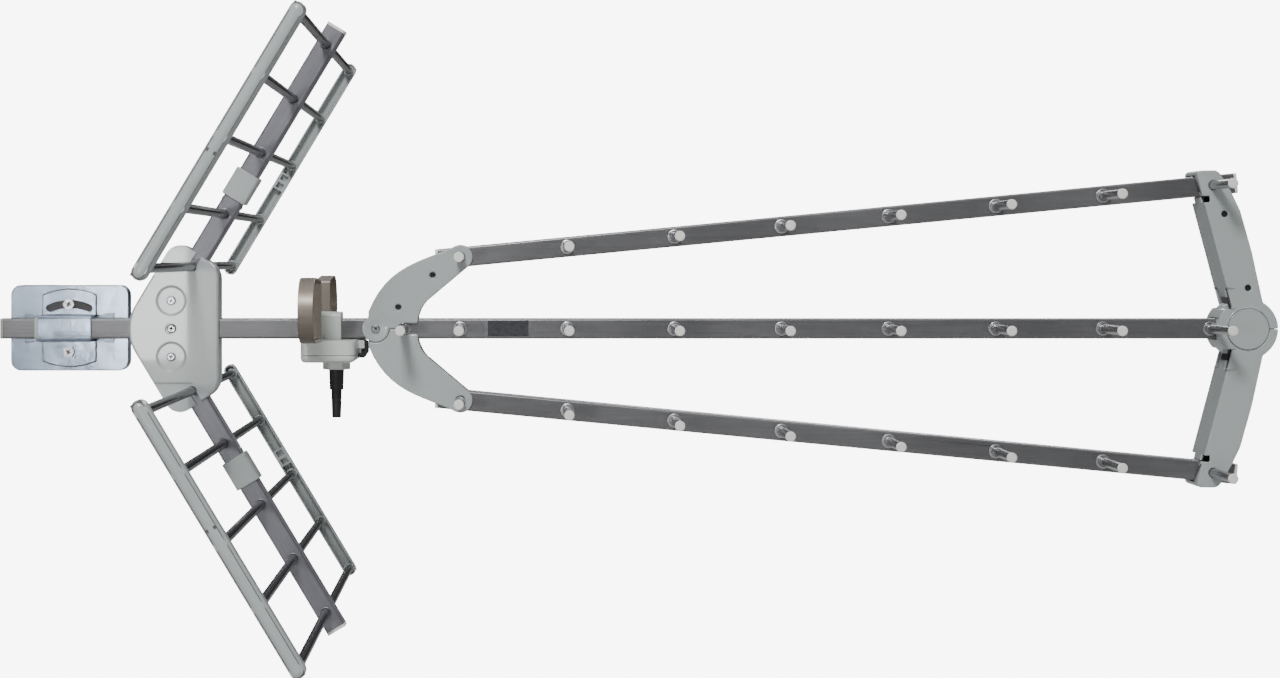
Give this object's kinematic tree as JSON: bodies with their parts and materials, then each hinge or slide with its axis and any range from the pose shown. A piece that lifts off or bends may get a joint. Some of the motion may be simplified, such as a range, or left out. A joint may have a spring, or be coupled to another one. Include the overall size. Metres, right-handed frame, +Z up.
{
  "type": "yagi uhf antenna",
  "caption": "Yagi UHF television antenna with splayed booms, slanted reflector arms, folded dipole, feed box and a mast clamp that tilts.",
  "frame": {"origin": "on the axis of the clamped mast, at the middle of the mast clamp's height", "axes": "+X along the main boom towards the directors' end, +Z up along the mast, +Y from the booms towards the mast's far side; the picture looks along +Y"},
  "size_m": [1.1332, 0.535, 0.547],
  "materials": {
    "boom_metal": "brushed lengthwise",
    "arm_metal": "brushed lengthwise",
    "rod_metal": "dark, half gloss",
    "grey_plastic": "half gloss",
    "cap_plastic": "satin",
    "tail_cap_plastic": "satin",
    "screw_steel": "zinc plated",
    "zinc_plate": "mottled zinc plating",
    "dipole_metal": "bronze tinted, satin",
    "black_plastic": "half gloss",
    "boot_rubber": "satin"
  },
  "bodies": {
    "mast_clamp": {"front_plate": "zinc_plate", "mast_seat": "zinc_plate", "mast_jaw": "zinc_plate", "clamp_bolts": "screw_steel", "clamp_nuts": "screw_steel", "tilt_screws": "screw_steel"},
    "antenna": {"main_boom": "boom_metal", "upper_boom": "boom_metal", "lower_boom": "boom_metal", "main_boom_caps": "tail_cap_plastic", "upper_boom_caps": "cap_plastic", "lower_boom_caps": "cap_plastic", "main_directors": "rod_metal", "upper_directors": "rod_metal", "lower_directors": "rod_metal", "main_director_caps": "cap_plastic", "upper_director_caps": "cap_plastic", "lower_director_caps": "cap_plastic", "hub_front": "grey_plastic", "hub_rear": "grey_plastic", "hub_screws": "screw_steel", "upper_arm_inner": "arm_metal", "upper_arm_outer": "arm_metal", "lower_arm_inner": "arm_metal", "lower_arm_outer": "arm_metal", "upper_arm_sleeve": "grey_plastic", "lower_arm_sleeve": "grey_plastic", "arm_caps": "cap_plastic", "arm_rivets": "screw_steel", "upper_rods": "rod_metal", "lower_rods": "rod_metal", "upper_near_strip_inner": "grey_plastic", "upper_near_strip_outer": "grey_plastic", "upper_far_strip_inner": "grey_plastic", "upper_far_strip_outer": "grey_plastic", "lower_near_strip_inner": "grey_plastic", "lower_near_strip_outer": "grey_plastic", "lower_far_strip_inner": "grey_plastic", "lower_far_strip_outer": "grey_plastic", "rear_spreader_upper": "grey_plastic", "rear_spreader_lower": "grey_plastic", "rear_spreader_screw": "screw_steel", "front_spreader_upper": "grey_plastic", "front_spreader_lower": "grey_plastic", "front_spreader_pin": "screw_steel", "dipole_near": "dipole_metal", "dipole_far": "dipole_metal", "dipole_rivets": "screw_steel", "dipole_box": "grey_plastic", "box_lid": "grey_plastic", "box_latch": "black_plastic", "boom_clip": "grey_plastic", "cable_nut": "grey_plastic", "cable_boot": "boot_rubber", "boom_saddle": "zinc_plate", "boom_liner": "grey_plastic", "boom_cradle": "zinc_plate"}
  },
  "joints": [
    {"name": "tilt", "type": "hinge", "parent": "mast_clamp", "child": "antenna", "pos_m": [0, -0.03402, -0.0214], "axis": [0, 1, 0], "range_deg": [-20, 20]}
  ]
}
